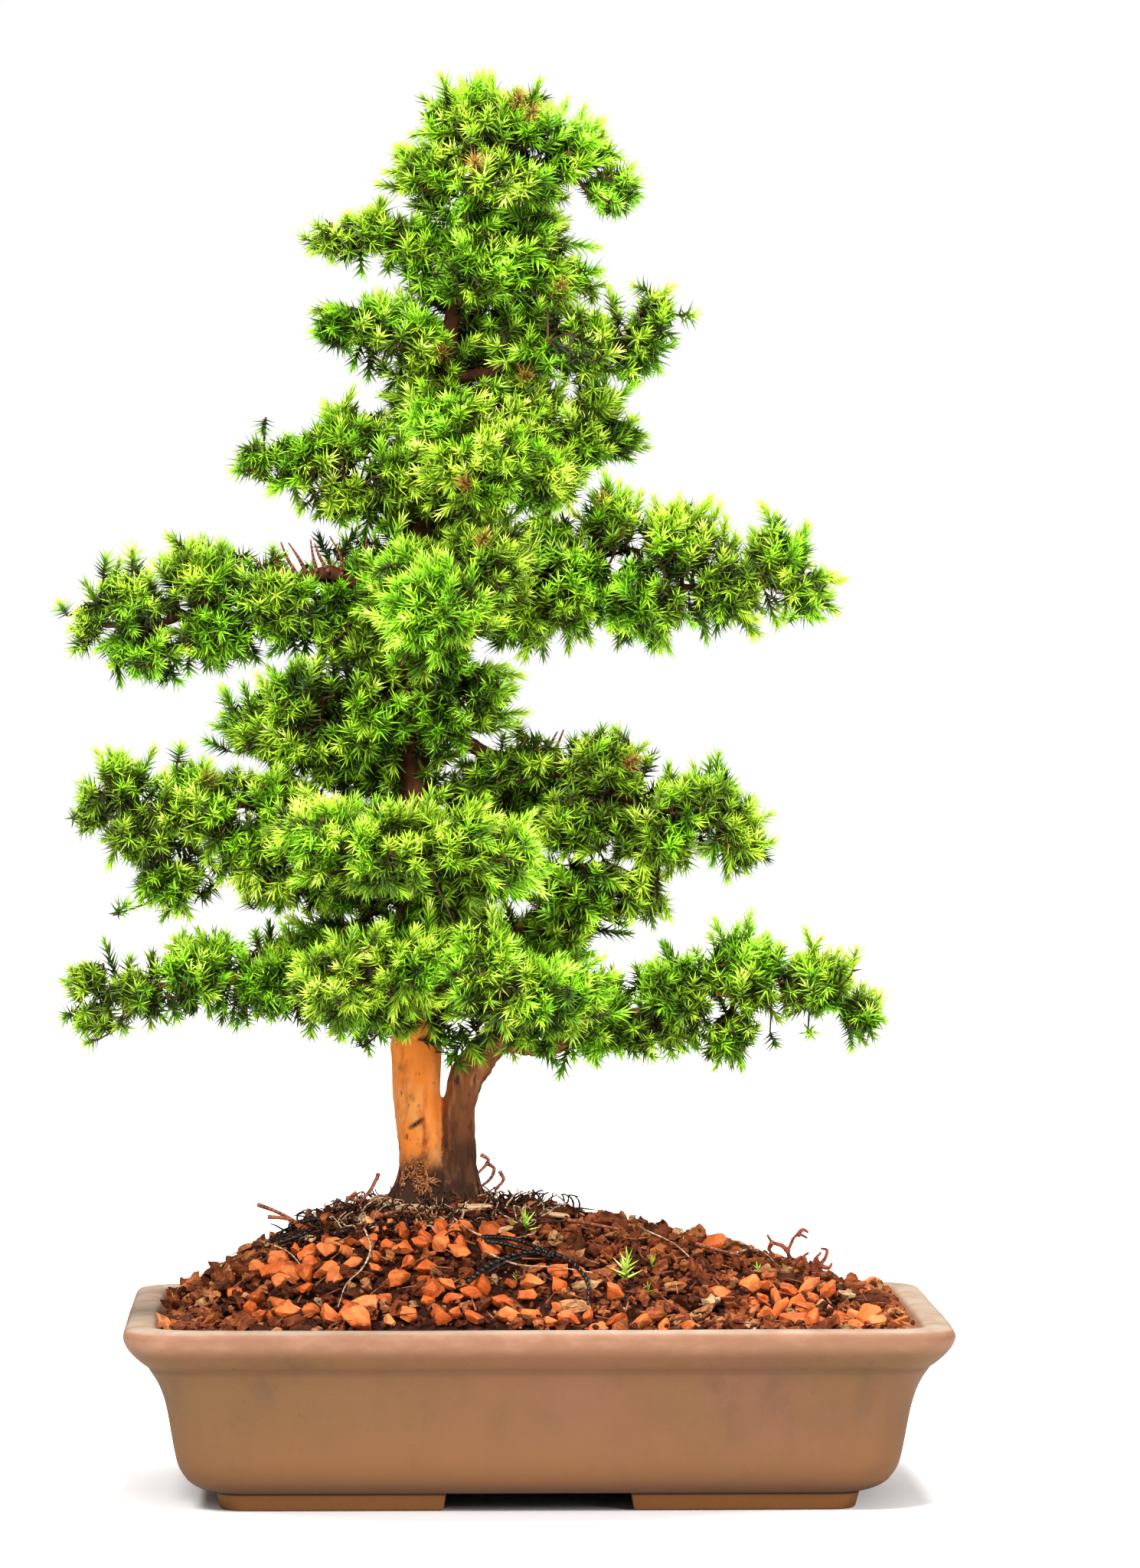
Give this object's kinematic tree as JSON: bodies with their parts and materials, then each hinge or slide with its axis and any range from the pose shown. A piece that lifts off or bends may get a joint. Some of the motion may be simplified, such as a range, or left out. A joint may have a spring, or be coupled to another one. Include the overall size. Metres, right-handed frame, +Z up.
{
  "type": "bonsai tree in a pot",
  "caption": "Needle juniper bonsai with an orange trunk and layered needle pads, in a shallow rectangular unglazed stoneware pot heaped with granular soil.",
  "frame": {"origin": "under the middle of the whole object, at the level of the pot's feet", "axes": "+Z up the tree, X along the pot's long side, -Y is the front"},
  "size_m": [0.3276, 0.231, 0.5252],
  "materials": {
    "stoneware": "matte",
    "soil": "matte",
    "bark": "matte",
    "foliage": "matte",
    "wire": "satin",
    "screen": "matte",
    "sprout": "matte",
    "deadwood": "matte"
  },
  "bodies": {
    "root": {"branch_back_1": "bark", "branch_back_4": "bark", "branch_back_left_2": "bark", "branch_back_right_2": "bark", "branch_front_2": "bark", "branch_front_3": "bark", "branch_front_left_1": "bark", "branch_front_right_1": "bark", "branch_left_1": "bark", "branch_left_2": "bark", "branch_left_3": "bark", "branch_left_4": "bark", "branch_left_5": "bark", "branch_left_6": "bark", "branch_left_7": "bark", "branch_right_1": "bark", "branch_right_2": "bark", "branch_right_3": "bark", "branch_right_5": "bark", "branch_right_6": "bark", "coil_wire_left_2": "wire", "coil_wire_left_4": "wire", "coil_wire_right_2": "wire", "dead_twig": "deadwood", "drain_screen_left": "screen", "drain_screen_right": "screen", "foliage_apex": "foliage", "foliage_back_1": "foliage", "foliage_back_4": "foliage", "foliage_back_left_2": "foliage", "foliage_back_right_2": "foliage", "foliage_crown": "foliage", "foliage_front_2": "foliage", "foliage_front_3": "foliage", "foliage_front_left_1": "foliage", "foliage_front_right_1": "foliage", "foliage_left_1": "foliage", "foliage_left_2": "foliage", "foliage_left_3": "foliage", "foliage_left_4": "foliage", "foliage_left_5": "foliage", "foliage_left_6": "foliage", "foliage_left_7": "foliage", "foliage_right_1": "foliage", "foliage_right_2": "foliage", "foliage_right_3": "foliage", "foliage_right_5": "foliage", "foliage_right_6": "foliage", "pot": "stoneware", "screen_clip_left": "wire", "screen_clip_right": "wire", "soil": "soil", "sprout_front": "sprout", "sprout_trunk": "sprout", "tie_wire": "wire", "trunk": "bark"}
  },
  "joints": []
}
